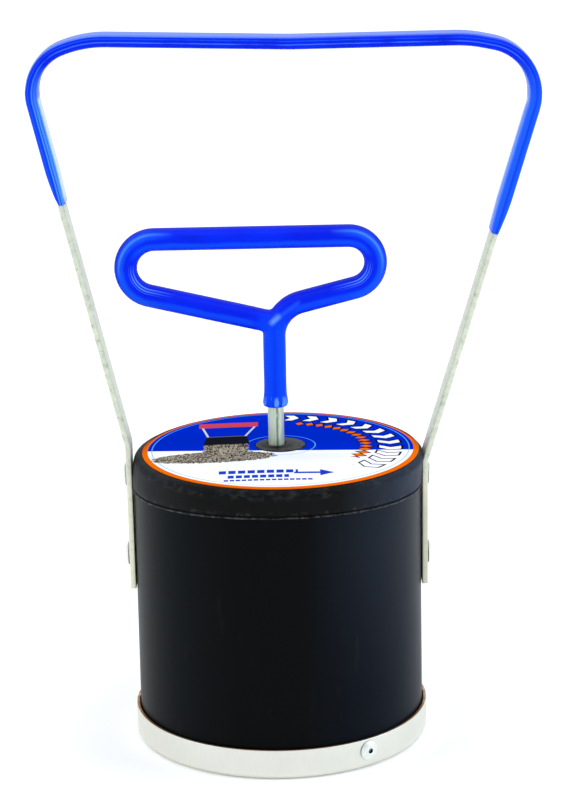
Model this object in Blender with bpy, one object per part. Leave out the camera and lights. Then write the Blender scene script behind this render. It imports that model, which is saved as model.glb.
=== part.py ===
"""Magnetic parts lifter: a can with a sheet-metal pan, a carrying bail and a lifting T-handle.

Frame: origin on the can's axis at the underside of the pan, +Z up, +X to the right leg of the
bail. Lengths are in metres and are written as millimetres times MM.
"""
import math

import bmesh
import bpy
from mathutils import Matrix, Vector

MM = 0.001

# Clearances between touching pieces
GAP = 0.3 * MM              # along an axis, between faces that rest on each other
SLIP = 0.25 * MM            # round a pin, or inside a coating

# Can
TUBE_R = 57.15 * MM         # nominal 4 inch pipe, 4.5 inches outside
TUBE_WALL = 6.0 * MM
TUBE_BOTTOM = 2.4 * MM      # clear of the pan's rounded inner corner
TUBE_TOP = 112.6 * MM
PAN_R = 58.8 * MM
PAN_SHEET = 1.2 * MM
PAN_HEIGHT = 12.3 * MM
PAN_CORNER = 2.6 * MM
CAN_STEPS = 48              # sides of the large turned pieces

# Lid, label and bushing
CAP_R = 58.2 * MM
CAP_SKIRT = 0.8 * MM
CAP_BOTTOM = 102.9 * MM
CAP_EDGE_Z = 116.25 * MM    # top face where it meets the rounded edge
CAP_EDGE_R = 3.4 * MM
CAP_PLATE = 1.65 * MM
CROWN = 1.5 * MM            # rise of the lid's middle
CROWN_R = CAP_R - CAP_EDGE_R
CAP_HOLE_R = 7.1 * MM
CAP_SLOT_X = 56.7 * MM      # each leg of the bail lies in a slot, cut in to here
LABEL_R = 54.9 * MM
LABEL_HOLE_R = 10.25 * MM
LABEL_SHIFT = 1.55 * MM     # the label sits a little off the axis, along X
LABEL_SHEET = 0.3 * MM
FLANGE_R = 8.3 * MM
SPIGOT_R = 6.8 * MM
SPIGOT_BOTTOM = 112.5 * MM
BUSHING_BORE_R = 3.6 * MM
BUSHING_TOP = 119.1 * MM
RETAINER_R = 10.5 * MM
RETAINER_SHEET = 0.8 * MM

# Rivets
RIVET_R = 2.0 * MM
RIVET_HOLE_R = RIVET_R + GAP
PAN_RIVET_HEAD_R = 4.0 * MM
PAN_RIVET_HEAD_H = 1.15 * MM
PAN_RIVET_Z = 7.4 * MM
PAN_RIVET_ANGLE = math.radians(35.0 - 90.0)     # from +X, the visible one
STRAP_RIVET_HEAD_R = 4.65 * MM
STRAP_RIVET_HEAD_H = 1.5 * MM
STRAP_RIVET_TOP_Z = 107.6 * MM                  # upper rivet of the left leg
STRAP_RIVET_PITCH = 33.0 * MM
RIGHT_LEG_DROP = 1.8 * MM                       # the right leg is riveted a little lower

# Bail: a flat strap in the XZ plane, with a coating on its upper part
STRAP_THICK = 2.3 * MM
STRAP_WIDE = 12.7 * MM
STRAP_MARGIN = 0.35 * MM                        # between the legs and the tube
LEG_X = TUBE_R + STRAP_MARGIN + STRAP_THICK / 2
LEG_END_LEFT = 61.5 * MM
LEG_END_RIGHT = 61.2 * MM
BAIL_CORNERS = (                                # (x, z, bend radius) of the middle line, mm
    (-94.0, 272.0, 18.0),
    (-70.5, 280.7, 44.0),
    (8.0, 278.2, 200.0),
    (76.5, 278.5, 52.0),
    (107.3, 272.0, 20.0),
)
LEG_BEND_LEFT_Z = 120.3 * MM
LEG_BEND_RIGHT_Z = 112.0 * MM
LEG_BEND_R = 6.0 * MM
SLEEVE_THICK = 5.3 * MM
SLEEVE_WIDE = 15.6 * MM
SLEEVE_ROUND = 2.0 * MM
SLEEVE_END_LEFT_Z = 218.0 * MM
SLEEVE_END_RIGHT_Z = 203.5 * MM
SLEEVE_TAPER = 14.0 * MM                        # length over which each end thins
SLEEVE_END_SCALE = 0.72

# T-handle: a rod in the XZ plane, bent into a closed loop on top of a straight stem
ROD_R = 3.175 * MM
ROD_BOTTOM = 8.0 * MM
BAR_Z = 202.4 * MM
RIGHT_SLOPE = math.radians(14.0)
LEFT_SLOPE = math.radians(13.5)
RIGHT_ROOT_Z = 173.7 * MM                       # where each lower leg's line meets the axis
LEFT_ROOT_Z = 168.4 * MM
ROOT_BEND_R = 14.0 * MM
RIGHT_END_R = 10.5 * MM
LEFT_END_R = 11.3 * MM
GRIP_R = 4.5 * MM
GRIP_STEM_R = 4.3 * MM
GRIP_BEAD_R = 4.75 * MM
GRIP_BOTTOM = 133.8 * MM
GRIP_BEAD_H = 3.6 * MM
ROD_SIDES = 12

# Magnet pack and stop, stacked up from the pan's floor
LIFT = 55.0 * MM
MAGNET_R = 45.0 * MM
MAGNET_HOLE_R = 18.0 * MM
MAGNET_H = 17.0 * MM
POLE_R = 43.0 * MM
POLE_H = 5.0 * MM
ROD_HOLE_R = 3.6 * MM
WASHER_R = 9.0 * MM
WASHER_H = 1.6 * MM
NUT_ACROSS = 11.1 * MM
NUT_H = 5.6 * MM
COLLAR_R = 8.0 * MM
COLLAR_H = 7.5 * MM
BUMPER_R = 9.0 * MM
BUMPER_H = 4.0 * MM
SCREW_R = 1.5 * MM

MAGNET_Z = PAN_SHEET + GAP
POLE_Z = MAGNET_Z + MAGNET_H + GAP
UPPER_WASHER_Z = POLE_Z + POLE_H + GAP
UPPER_NUT_Z = UPPER_WASHER_Z + WASHER_H + GAP
LOWER_WASHER_Z = POLE_Z - GAP - WASHER_H
LOWER_NUT_Z = LOWER_WASHER_Z - GAP - NUT_H
BUMPER_Z = SPIGOT_BOTTOM - LIFT - GAP - BUMPER_H
COLLAR_Z = BUMPER_Z - GAP - COLLAR_H


# ---------------------------------------------------------------- helpers

def clear_scene():
    for old in list(bpy.data.objects):
        bpy.data.objects.remove(old, do_unlink=True)


def material(name, colour, roughness, metallic):
    made = bpy.data.materials.new(name)
    made.use_nodes = True
    shader = made.node_tree.nodes["Principled BSDF"]
    shader.inputs["Base Color"].default_value = (*colour, 1.0)
    shader.inputs["Roughness"].default_value = roughness
    shader.inputs["Metallic"].default_value = metallic
    made.diffuse_color = (*colour, 1.0)
    return made


def add_object(name, bm, finish, sharp_angle=35.0):
    """Turns a bmesh into a named object with outward faces and one material."""
    bmesh.ops.recalc_face_normals(bm, faces=bm.faces)
    mesh = bpy.data.meshes.new(name)
    bm.to_mesh(mesh)
    bm.free()
    mesh.shade_smooth()
    mesh.set_sharp_from_angle(angle=math.radians(sharp_angle))
    if finish:
        mesh.materials.append(finish)
    made = bpy.data.objects.new(name, mesh)
    bpy.context.collection.objects.link(made)
    return made


def turned(name, profile, finish, steps=CAN_STEPS, closed=True):
    """Spins a profile of (radius, z) points about Z. An open profile starts and ends on Z."""
    bm = bmesh.new()
    verts = [bm.verts.new((radius, 0.0, z)) for radius, z in profile]
    pairs = list(zip(verts, verts[1:]))
    if closed:
        pairs.append((verts[-1], verts[0]))
    edges = [bm.edges.new(pair) for pair in pairs]
    bmesh.ops.spin(bm, geom=verts + edges, cent=(0, 0, 0), axis=(0, 0, 1), dvec=(0, 0, 0),
                   angle=math.tau, steps=steps, use_merge=True)
    bmesh.ops.remove_doubles(bm, verts=bm.verts, dist=1e-7)
    return add_object(name, bm, finish)


def ring(name, inner, outer, bottom, height, finish, steps=24):
    top = bottom + height
    return turned(name, [(inner, bottom), (inner, top), (outer, top), (outer, bottom)],
                  finish, steps)


def as_cutter(tool):
    tool.hide_render = True
    tool.display_type = "WIRE"
    return tool


def boolean(target, tool, operation="DIFFERENCE"):
    modifier = target.modifiers.new(operation.lower() + "_" + tool.name, "BOOLEAN")
    modifier.operation = operation
    modifier.solver = "EXACT"
    modifier.object = tool


def bent_line(corners, arc_step=math.radians(12.0)):
    """A line through (x, z, radius) corners, each rounded by an arc of its radius."""
    points = [Vector((corners[0][0], corners[0][1]))]
    for before, corner, after in zip(corners, corners[1:], corners[2:]):
        at = Vector(corner[:2])
        back = (Vector(before[:2]) - at).normalized()
        on = (Vector(after[:2]) - at).normalized()
        opening = back.angle(on)
        turn = math.pi - opening
        centre = at + (back + on).normalized() * (corner[2] / math.sin(opening / 2))
        start = at + back * (corner[2] * math.tan(turn / 2)) - centre
        side = 1.0 if back.cross(on) < 0 else -1.0
        steps = max(2, math.ceil(turn / arc_step))
        for index in range(steps + 1):
            swing = side * turn * index / steps
            points.append(centre + Matrix.Rotation(swing, 2) @ start)
    points.append(Vector(corners[-1][:2]))
    return points


def cross_directions(points):
    """The direction square to a line in the XZ plane at each of its points."""
    normals = []
    for index in range(len(points)):
        ahead = points[min(index + 1, len(points) - 1)]
        behind = points[max(index - 1, 0)]
        along = (ahead - behind).normalized()
        normals.append(Vector((-along.y, along.x)))
    return normals


def ring_along(bm, point, normal, section):
    """One loop of vertices: section holds (across, y) pairs about a point of the line."""
    loop = []
    for across, y in section:
        place = point + normal * across
        loop.append(bm.verts.new((place.x, y, place.y)))
    return loop


def bridge(bm, first, second):
    count = len(first)
    for index in range(count):
        after = (index + 1) % count
        bm.faces.new((first[index], first[after], second[after], second[index]))


def swept(name, points, sections, finish):
    """A solid bar: one section of (across, y) pairs for each point of the line."""
    bm = bmesh.new()
    loops = []
    for point, normal, section in zip(points, cross_directions(points), sections):
        loops.append(ring_along(bm, point, normal, section))
    for first, second in zip(loops, loops[1:]):
        bridge(bm, first, second)
    bm.faces.new(loops[0])
    bm.faces.new(loops[-1])
    return add_object(name, bm, finish)


def circle(radius, sides=ROD_SIDES):
    turns = [math.tau * (index + 0.5) / sides for index in range(sides)]
    return [(radius * math.cos(turn), radius * math.sin(turn)) for turn in turns]


def rounded_box(thick, wide, radius, steps=2):
    """A rectangle of (across, y) pairs with each corner drawn by an arc."""
    half_a = thick / 2 - radius
    half_y = wide / 2 - radius
    pairs = []
    for quarter, (sign_a, sign_y) in enumerate(((1, 1), (-1, 1), (-1, -1), (1, -1))):
        for index in range(steps + 1):
            turn = math.pi / 2 * (quarter + index / steps)
            pairs.append((sign_a * half_a + radius * math.cos(turn),
                          sign_y * half_y + radius * math.sin(turn)))
    return pairs


def lid_top(radius, edge_z=CAP_EDGE_Z):
    """Height of the crowned lid at a radius."""
    return edge_z + CROWN * (1.0 - (radius / CROWN_R) ** 2)


# ---------------------------------------------------------------- can, lid and label

def make_tube(finish):
    inner = TUBE_R - TUBE_WALL
    height = TUBE_TOP - TUBE_BOTTOM
    return ring("housing_tube", inner, TUBE_R, TUBE_BOTTOM, height, finish, CAN_STEPS)


def make_pan(finish):
    inner_r = PAN_R - PAN_SHEET
    inner_corner = PAN_CORNER - PAN_SHEET
    profile = [(0.0, 0.0)]
    for index in range(5):
        turn = math.pi / 2 * index / 4
        profile.append((PAN_R - PAN_CORNER * (1 - math.sin(turn)),
                        PAN_CORNER * (1 - math.cos(turn))))
    profile += [(PAN_R, PAN_HEIGHT), (inner_r, PAN_HEIGHT)]
    for index in range(3):
        turn = math.pi / 2 * (1 - index / 2)
        profile.append((inner_r - inner_corner * (1 - math.sin(turn)),
                        PAN_SHEET + inner_corner * (1 - math.cos(turn))))
    profile.append((0.0, PAN_SHEET))
    return turned("base_pan", profile, finish, closed=False)


def make_cap(finish):
    radii = (CAP_HOLE_R, 20 * MM, 33 * MM, 45 * MM)
    profile = [(radius, lid_top(radius)) for radius in radii]
    for index in range(5):
        turn = math.pi / 2 * index / 4
        profile.append((CROWN_R + CAP_EDGE_R * math.sin(turn),
                        CAP_EDGE_Z - CAP_EDGE_R * (1 - math.cos(turn))))
    skirt_inner = CAP_R - CAP_SKIRT
    profile += [(CAP_R, CAP_BOTTOM), (skirt_inner, CAP_BOTTOM), (skirt_inner, TUBE_TOP + GAP)]
    profile.append((CROWN_R, CAP_EDGE_Z - CAP_PLATE))
    profile += [(radius, lid_top(radius) - CAP_PLATE) for radius in reversed(radii)]
    cap = turned("end_cap", profile, finish)
    for side, sign in (("left", -1.0), ("right", 1.0)):
        boolean(cap, slot_cutter("slot_" + side, sign))
    return cap


def slot_cutter(name, sign):
    """A box that clears one leg of the bail from the cap's skirt and rounded edge."""
    depth = CAP_R + 2 * MM - CAP_SLOT_X
    width = STRAP_WIDE + 4 * GAP
    bottom = CAP_BOTTOM - 1 * MM
    height = CAP_EDGE_Z + 1 * MM - bottom
    bm = bmesh.new()
    bmesh.ops.create_cube(bm, size=1.0)
    bmesh.ops.scale(bm, verts=bm.verts, vec=(depth, width, height))
    place = (sign * (CAP_SLOT_X + depth / 2), 0, bottom + height / 2)
    bmesh.ops.translate(bm, verts=bm.verts, vec=place)
    return as_cutter(add_object(name, bm, None))


def make_label(finish):
    radii = (LABEL_HOLE_R, 22 * MM, 33 * MM, 44 * MM, LABEL_R)
    under = [(radius, lid_top(radius) + SLIP) for radius in radii]
    over = [(radius, z + LABEL_SHEET) for radius, z in reversed(under)]
    label = turned("top_label", under + over, finish)
    label.location.x = LABEL_SHIFT
    return label


def make_bushing(finish):
    flange_z = lid_top(CAP_HOLE_R) + SLIP
    mouth_r = 4.35 * MM
    rim = 0.6 * MM
    profile = [
        (BUSHING_BORE_R, SPIGOT_BOTTOM), (SPIGOT_R, SPIGOT_BOTTOM), (SPIGOT_R, flange_z),
        (FLANGE_R, flange_z), (FLANGE_R, flange_z + rim / 2), (FLANGE_R - rim, flange_z + rim),
        (mouth_r, BUSHING_TOP), (BUSHING_BORE_R, BUSHING_TOP - rim),
    ]
    return turned("rod_bushing", profile, finish, steps=32)


def make_retainer(finish):
    bottom = lid_top(SPIGOT_R) - CAP_PLATE - GAP - RETAINER_SHEET
    return ring("bushing_retainer", SPIGOT_R + SLIP, RETAINER_R, bottom, RETAINER_SHEET, finish)


# ---------------------------------------------------------------- rivets

def rivet_mesh(name, head_r, head_h, grip_length, finish):
    """A blind rivet along local +Z: the head's underside at 0, the shank going down to -Z."""
    mandrel_r = 1.0 * MM
    mandrel_depth = 2.5 * MM
    tail_r = 3.1 * MM
    tail_h = 1.9 * MM
    tail_z = -grip_length - GAP
    profile = [
        (0.0, -mandrel_depth), (mandrel_r, -mandrel_depth), (mandrel_r, head_h),
        (mandrel_r * 1.9, head_h), (head_r * 0.8, head_h * 0.62), (head_r, 0.0),
        (RIVET_R, 0.0), (RIVET_R, tail_z), (tail_r, tail_z),
        (tail_r * 0.8, tail_z - tail_h), (0.0, tail_z - tail_h),
    ]
    pattern = turned(name + "_pattern", profile, finish, steps=14, closed=False)
    mesh = pattern.data
    mesh.name = name
    bpy.data.objects.remove(pattern)
    return mesh


def place_rivet(name, mesh, angle, radius, z):
    """Puts a rivet on the can with its head's underside at a radius, pointing outwards."""
    rivet = bpy.data.objects.new(name, mesh)
    bpy.context.collection.objects.link(rivet)
    rivet.location = (radius * math.cos(angle), radius * math.sin(angle), z)
    rivet.rotation_euler = (0.0, math.pi / 2, angle)
    return rivet


def rivet_cutter(name, angle, z):
    bm = bmesh.new()
    bmesh.ops.create_cone(bm, cap_ends=True, segments=20, radius1=RIVET_HOLE_R,
                          radius2=RIVET_HOLE_R, depth=24 * MM)
    cutter = as_cutter(add_object(name, bm, None))
    cutter.location = (TUBE_R * math.cos(angle), TUBE_R * math.sin(angle), z)
    cutter.rotation_euler = (0.0, math.pi / 2, angle)
    return cutter


def make_pan_rivets(finish, drilled):
    head_at = PAN_R + GAP
    grip_length = head_at - (TUBE_R - TUBE_WALL)
    mesh = rivet_mesh("pan_rivet", PAN_RIVET_HEAD_R, PAN_RIVET_HEAD_H, grip_length, finish)
    for side, turn in (("right", 0.0), ("left", math.pi)):
        angle = PAN_RIVET_ANGLE + turn
        place_rivet("pan_rivet_" + side, mesh, angle, head_at, PAN_RIVET_Z)
        cutter = rivet_cutter("drill_pan_" + side, angle, PAN_RIVET_Z)
        for piece in drilled:
            boolean(piece, cutter)


def make_strap_rivets(finish, strap, tube):
    head_at = LEG_X + STRAP_THICK / 2 + GAP
    grip_length = head_at - (TUBE_R - TUBE_WALL)
    mesh = rivet_mesh("strap_rivet", STRAP_RIVET_HEAD_R, STRAP_RIVET_HEAD_H, grip_length, finish)
    for side, angle, drop in (("left", math.pi, 0.0), ("right", 0.0, RIGHT_LEG_DROP)):
        for level, below in (("upper", 0.0), ("lower", STRAP_RIVET_PITCH)):
            z = STRAP_RIVET_TOP_Z - drop - below
            tag = side + "_" + level
            place_rivet("strap_rivet_" + tag, mesh, angle, head_at, z)
            cutter = rivet_cutter("drill_strap_" + tag, angle, z)
            boolean(strap, cutter)
            boolean(tube, cutter)


# ---------------------------------------------------------------- bail

def bail_corners():
    corners = [(-LEG_X, LEG_END_LEFT, 0.0), (-LEG_X, LEG_BEND_LEFT_Z, LEG_BEND_R)]
    corners += [(x * MM, z * MM, radius * MM) for x, z, radius in BAIL_CORNERS]
    corners += [(LEG_X, LEG_BEND_RIGHT_Z, LEG_BEND_R), (LEG_X, LEG_END_RIGHT, 0.0)]
    return corners


def point_at_height(low, high, z):
    share = (z - low[1]) / (high[1] - low[1])
    return (low[0] + share * (high[0] - low[0]), z, 0.0)


def make_strap(finish):
    points = bent_line(bail_corners())
    half_a = STRAP_THICK / 2
    half_y = STRAP_WIDE / 2
    section = [(-half_a, -half_y), (half_a, -half_y), (half_a, half_y), (-half_a, half_y)]
    return swept("bail_strap", points, [section] * len(points), finish)


def sleeve_line():
    """The coated part of the bail's middle line, with extra points where the ends thin."""
    corners = bail_corners()
    left = point_at_height(corners[1], corners[2], SLEEVE_END_LEFT_Z)
    left_full = point_at_height(corners[1], corners[2], SLEEVE_END_LEFT_Z + SLEEVE_TAPER)
    right = point_at_height(corners[-2], corners[-3], SLEEVE_END_RIGHT_Z)
    right_full = point_at_height(corners[-2], corners[-3], SLEEVE_END_RIGHT_Z + SLEEVE_TAPER)
    middle = bent_line([left] + corners[2:-2] + [right])
    line = [middle[0], Vector(left_full[:2])] + middle[1:-1]
    return line + [Vector(right_full[:2]), middle[-1]]


def make_sleeve(finish):
    points = sleeve_line()
    inner = rounded_box(STRAP_THICK + 2 * SLIP, STRAP_WIDE + 2 * SLIP, 0.2 * MM)
    bm = bmesh.new()
    outer_loops = []
    inner_loops = []
    for index, (point, normal) in enumerate(zip(points, cross_directions(points))):
        at_end = index in (0, len(points) - 1)
        scale = SLEEVE_END_SCALE if at_end else 1.0
        outer = rounded_box(SLEEVE_THICK * scale, SLEEVE_WIDE, SLEEVE_ROUND * scale ** 2)
        outer_loops.append(ring_along(bm, point, normal, outer))
        inner_loops.append(ring_along(bm, point, normal, inner))
    for loops in (outer_loops, inner_loops):
        for first, second in zip(loops, loops[1:]):
            bridge(bm, first, second)
    bridge(bm, outer_loops[0], inner_loops[0])
    bridge(bm, outer_loops[-1], inner_loops[-1])
    return add_object("bail_sleeve", bm, finish)


# ---------------------------------------------------------------- T-handle

def loop_corners(bottom, left_end_x):
    """Corners of the rod's middle line from its lower end round the loop to its butt joint."""
    right_tip = (BAR_Z - RIGHT_ROOT_Z) / math.tan(RIGHT_SLOPE)
    left_tip = (BAR_Z - LEFT_ROOT_Z) / math.tan(LEFT_SLOPE)
    left_end_z = LEFT_ROOT_Z - left_end_x * math.tan(LEFT_SLOPE)
    return [
        (0.0, bottom, 0.0),
        (0.0, RIGHT_ROOT_Z, ROOT_BEND_R),
        (right_tip, BAR_Z, RIGHT_END_R),
        (-left_tip, BAR_Z, LEFT_END_R),
        (left_end_x, left_end_z, 0.0),
    ]


def make_stub(name, radius, reach):
    """The short bar that joins the loop's free end to the stem."""
    start = Vector((-reach, LEFT_ROOT_Z + reach * math.tan(LEFT_SLOPE)))
    end = Vector((0.0, LEFT_ROOT_Z))
    return as_cutter(swept(name, [start, end], [circle(radius)] * 2, None))


def loop_bar(name, radius, bottom, finish):
    """The bent rod as one closed bar, its free end joined to the stem by a stub."""
    left_end_x = -(radius * 1.1 + GAP * 2)
    points = bent_line(loop_corners(bottom, left_end_x), math.radians(15.0))
    bar = swept(name, points, [circle(radius)] * len(points), finish)
    stub = make_stub(name + "_stub", radius * 0.97, radius * 3)
    boolean(bar, stub, "UNION")
    return bar


def make_grip(finish):
    left_end_x = -(GRIP_R * 1.1 + GAP * 2)
    points = bent_line(loop_corners(GRIP_BOTTOM, left_end_x), math.radians(15.0))
    bead_top = Vector((0.0, GRIP_BOTTOM + GRIP_BEAD_H))
    neck = Vector((0.0, GRIP_BOTTOM + GRIP_BEAD_H * 1.6))
    points = [points[0], bead_top, neck] + points[1:]
    radii = [GRIP_BEAD_R, GRIP_BEAD_R, GRIP_STEM_R] + [GRIP_R] * (len(points) - 3)
    grip = swept("handle_grip", points, [circle(radius) for radius in radii], finish)
    boolean(grip, make_stub("handle_grip_stub", GRIP_R * 0.97, GRIP_R * 3), "UNION")
    cavity = as_cutter(loop_bar("grip_cavity", ROD_R + SLIP, GRIP_BOTTOM - 5 * MM, None))
    boolean(grip, cavity)
    return grip


# ---------------------------------------------------------------- magnet pack and stop

def make_nut(name, bottom, finish):
    bm = bmesh.new()
    bmesh.ops.create_cone(bm, cap_ends=True, segments=6, radius1=NUT_ACROSS / math.sqrt(3),
                          radius2=NUT_ACROSS / math.sqrt(3), depth=NUT_H)
    bmesh.ops.translate(bm, verts=bm.verts, vec=(0, 0, bottom + NUT_H / 2))
    nut = add_object(name, bm, finish)
    bore = ring_cutter(name + "_bore", ROD_R + SLIP, bottom, NUT_H)
    boolean(nut, bore)
    return nut


def ring_cutter(name, radius, bottom, height):
    margin = 1.0 * MM
    bm = bmesh.new()
    bmesh.ops.create_cone(bm, cap_ends=True, segments=24, radius1=radius, radius2=radius,
                          depth=height + 2 * margin)
    bmesh.ops.translate(bm, verts=bm.verts, vec=(0, 0, bottom + height / 2))
    return as_cutter(add_object(name, bm, None))


def lying_cylinder(name, radius, start_x, end_x, z, finish):
    bm = bmesh.new()
    bmesh.ops.create_cone(bm, cap_ends=True, segments=16, radius1=radius, radius2=radius,
                          depth=end_x - start_x)
    bmesh.ops.rotate(bm, verts=bm.verts, matrix=Matrix.Rotation(math.pi / 2, 3, "Y"))
    bmesh.ops.translate(bm, verts=bm.verts, vec=((start_x + end_x) / 2, 0, z))
    return add_object(name, bm, finish)


def make_magnet_pack(finishes):
    steel = finishes["plated_steel"]
    return [
        ring("magnet_ring", MAGNET_HOLE_R, MAGNET_R, MAGNET_Z, MAGNET_H, finishes["ferrite"], 36),
        ring("pole_plate", ROD_HOLE_R, POLE_R, POLE_Z, POLE_H, steel, 36),
        ring("upper_washer", ROD_HOLE_R, WASHER_R, UPPER_WASHER_Z, WASHER_H, steel),
        ring("lower_washer", ROD_HOLE_R, WASHER_R, LOWER_WASHER_Z, WASHER_H, steel),
    ]


def make_stop(finishes):
    steel = finishes["plated_steel"]
    collar = ring("stop_collar", ROD_R + SLIP, COLLAR_R, COLLAR_Z, COLLAR_H, steel)
    middle = COLLAR_Z + COLLAR_H / 2
    drill = lying_cylinder("drill_collar", SCREW_R + GAP, 0.0, COLLAR_R * 1.5, middle, None)
    boolean(collar, as_cutter(drill))
    screw = lying_cylinder("collar_screw", SCREW_R, ROD_R + SLIP, COLLAR_R - GAP, middle, steel)
    bumper = ring("stop_bumper", ROD_R + SLIP, BUMPER_R, BUMPER_Z, BUMPER_H, finishes["rubber"])
    return [collar, screw, bumper]


def gather(name, parent, pieces):
    """Parents pieces to an empty that stands on the lift axis."""
    holder = bpy.data.objects.new(name, None)
    bpy.context.collection.objects.link(holder)
    holder.parent = parent
    for piece in pieces:
        piece.parent = holder
    return holder


def main():
    clear_scene()
    finishes = {
        "black_plastic": material("black_plastic", (0.018, 0.019, 0.020), 0.42, 0.0),
        "cap_vinyl": material("cap_vinyl", (0.020, 0.020, 0.022), 0.50, 0.0),
        "pan_sheet": material("pan_sheet", (0.78, 0.79, 0.78), 0.38, 1.0),
        "rivet_metal": material("rivet_metal", (0.80, 0.81, 0.80), 0.35, 1.0),
        "label_print": material("label_print", (0.05, 0.14, 0.62), 0.35, 0.0),
        "zinc_strap": material("zinc_strap", (0.62, 0.66, 0.58), 0.42, 1.0),
        "blue_vinyl": material("blue_vinyl", (0.0, 0.06, 0.72), 0.30, 0.0),
        "plated_steel": material("plated_steel", (0.66, 0.69, 0.66), 0.28, 1.0),
        "ferrite": material("ferrite", (0.07, 0.07, 0.075), 0.60, 0.0),
        "rubber": material("rubber", (0.03, 0.03, 0.03), 0.80, 0.0),
    }
    tube = make_tube(finishes["black_plastic"])
    pan = make_pan(finishes["pan_sheet"])
    make_cap(finishes["cap_vinyl"])
    make_label(finishes["label_print"])
    make_bushing(finishes["black_plastic"])
    make_retainer(finishes["plated_steel"])
    strap = make_strap(finishes["zinc_strap"])
    make_sleeve(finishes["blue_vinyl"])
    make_pan_rivets(finishes["rivet_metal"], (pan, tube))
    make_strap_rivets(finishes["rivet_metal"], strap, tube)

    carrier = gather("magnet_carrier", None, make_magnet_pack(finishes))
    handle_pieces = [
        loop_bar("lift_rod", ROD_R, ROD_BOTTOM, finishes["plated_steel"]),
        make_grip(finishes["blue_vinyl"]),
        make_nut("upper_nut", UPPER_NUT_Z, finishes["plated_steel"]),
        make_nut("lower_nut", LOWER_NUT_Z, finishes["plated_steel"]),
    ]
    gather("handle", carrier, handle_pieces + make_stop(finishes))


main()
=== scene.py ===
"""Looks of the magnetic parts lifter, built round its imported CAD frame.

Lengths are in metres, written as millimetres times MM, apart from the two middle lines and the
materials, which are in mm. +Z is up, the front faces -Y and the right leg of the bail
is at +X. Every piece is meshed where it stands, with its origin at zero.
"""
from math import atan2, ceil, copysign, cos, degrees, exp, hypot, pi, radians, sin, sqrt, tan, tau

import bmesh
import bpy
from mathutils import Euler, Matrix, Vector, noise
from mathutils.kdtree import KDTree


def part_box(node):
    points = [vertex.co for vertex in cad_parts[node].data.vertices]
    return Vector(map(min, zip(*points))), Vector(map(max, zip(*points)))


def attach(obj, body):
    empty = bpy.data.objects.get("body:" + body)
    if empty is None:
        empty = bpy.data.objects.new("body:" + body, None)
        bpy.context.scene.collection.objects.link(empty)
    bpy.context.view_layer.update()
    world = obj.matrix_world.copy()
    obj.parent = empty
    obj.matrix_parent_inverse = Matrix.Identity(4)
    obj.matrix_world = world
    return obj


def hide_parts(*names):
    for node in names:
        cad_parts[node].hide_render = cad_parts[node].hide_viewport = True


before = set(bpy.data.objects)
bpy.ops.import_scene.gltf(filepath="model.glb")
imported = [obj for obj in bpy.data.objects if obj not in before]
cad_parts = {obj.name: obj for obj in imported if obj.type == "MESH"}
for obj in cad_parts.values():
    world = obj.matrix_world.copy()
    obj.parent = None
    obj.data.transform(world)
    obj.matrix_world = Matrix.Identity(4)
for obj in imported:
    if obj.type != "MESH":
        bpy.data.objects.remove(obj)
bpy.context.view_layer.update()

MM = 0.001
FRONT = -pi / 2                 # the turn, from +X, that faces the camera

# -------- sizes, read from the frame

def high(node):
    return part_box(node)[1]


def low(node):
    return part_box(node)[0]


TUBE_R = high("housing_tube").x
TUBE_TOP = high("housing_tube").z
TUBE_BOTTOM = low("housing_tube").z
TUBE_WALL = 6.0 * MM
PAN_R = high("base_pan").x
PAN_TOP = high("base_pan").z
PAN_SHEET = 1.2 * MM
CAP_R = high("end_cap").x
CAP_BOTTOM = low("end_cap").z
LABEL_X = (high("top_label").x + low("top_label").x) / 2
LABEL_R = (high("top_label").x - low("top_label").x) / 2
HUB_TOP = high("rod_bushing").z
HUB_BOTTOM = low("rod_bushing").z
STRAP_FACE = high("strap_rivet_right_upper").x - 1.8 * MM    # outer face of the bail's legs
GRIP_BOTTOM = low("handle_grip").z
ROD_BOTTOM = low("lift_rod").z

# The lid, as the CAD has it
CAP_EDGE_Z = 116.25 * MM
CAP_EDGE_R = 3.4 * MM
CAP_PLATE = 1.65 * MM
CAP_SKIRT = 0.8 * MM
CROWN = 1.5 * MM
CROWN_R = CAP_R - CAP_EDGE_R
CAP_HOLE_R = 7.1 * MM
LABEL_HOLE_R = 10.25 * MM
LABEL_SHEET = 0.3 * MM
SLIP = 0.25 * MM                # gap between the lid and what lies on it

# What only the fine lid has
LIP_HIGH = 0.75 * MM
LIP_OUT = 0.10 * MM
GROOVE_DEEP = 0.35 * MM         # the groove above the lip
SKIRT_RISE = 2.5 * MM           # the skirt's edge is this much higher in front and behind
LID_SHIFT = 0.85 * MM           # the lid's top sits this far to the right of the pipe

STRAP_THICK = 2.3 * MM
STRAP_WIDE = 12.7 * MM

# The bail's middle line, as the CAD has it but for its feet: (x, z, bend radius) in mm
LEG_X = 58.65
LEG_FOOT_X = 58.38              # the legs' lower ends lean in
BAIL_LINE = (
    (-LEG_FOOT_X, 61.5, 0.0),
    (-LEG_X, 120.3, 6.0),
    (-94.0, 272.0, 18.0),
    (-70.5, 280.7, 44.0),
    (8.0, 278.2, 200.0),
    (76.5, 278.5, 52.0),
    (107.3, 272.0, 20.0),
    (LEG_X, 112.0, 6.0),
    (LEG_FOOT_X, 61.2, 0.0),
)
SLEEVE_END_LEFT_Z = 218.0
SLEEVE_END_RIGHT_Z = 203.5

ROD_R = 3.175 * MM
GRIP_R = 4.5 * MM

# The T-handle's middle line, as the CAD has it, in mm
BAR_Z = 202.4
RIGHT_ROOT_Z = 173.7
LEFT_ROOT_Z = 168.4
RIGHT_SLOPE = radians(14.0)
LEFT_SLOPE = radians(13.5)
LEFT_BEND_X = -46.0             # middles of the loop's two end bends
RIGHT_BEND_X = 30.0
LEFT_BEND_R = 11.3
RIGHT_BEND_R = 10.5
STEM_BEND_R = 14.0


# -------- lines and sections

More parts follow.
